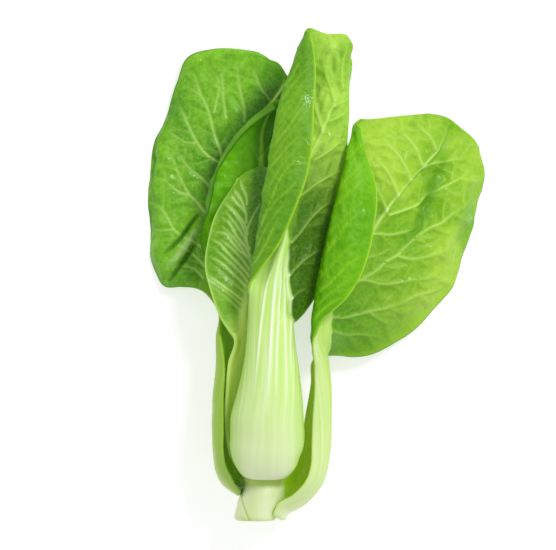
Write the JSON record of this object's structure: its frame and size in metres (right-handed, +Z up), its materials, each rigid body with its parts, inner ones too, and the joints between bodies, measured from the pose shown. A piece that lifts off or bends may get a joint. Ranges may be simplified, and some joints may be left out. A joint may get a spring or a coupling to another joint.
{
  "type": "pak choi head",
  "caption": "Head of pak choi (Chinese cabbage) lying on its back: thick pale stalks on a short cut stem, opening into broad smooth green leaves folded over at the front and right.",
  "frame": {"origin": "centre of the bounding box's footprint, on the surface the head lies on", "axes": "+Y along the head from the cut stem to the leaf tips, +X to the viewer's right in the picture, +Z up from the surface towards the camera"},
  "size_m": [0.1401, 0.2006, 0.0493],
  "materials": {
    "stem_base": "moist cut stem, soft sheen",
    "leaf_pale": "waxy light green leaf, satin",
    "leaf_deep": "waxy deep green leaf, satin"
  },
  "bodies": {
    "root": {"butt": "stem_base", "leaf_front": "leaf_pale", "leaf_right": "leaf_pale", "leaf_inner": "leaf_pale", "leaf_left": "leaf_deep", "leaf_back": "leaf_deep"}
  },
  "joints": []
}
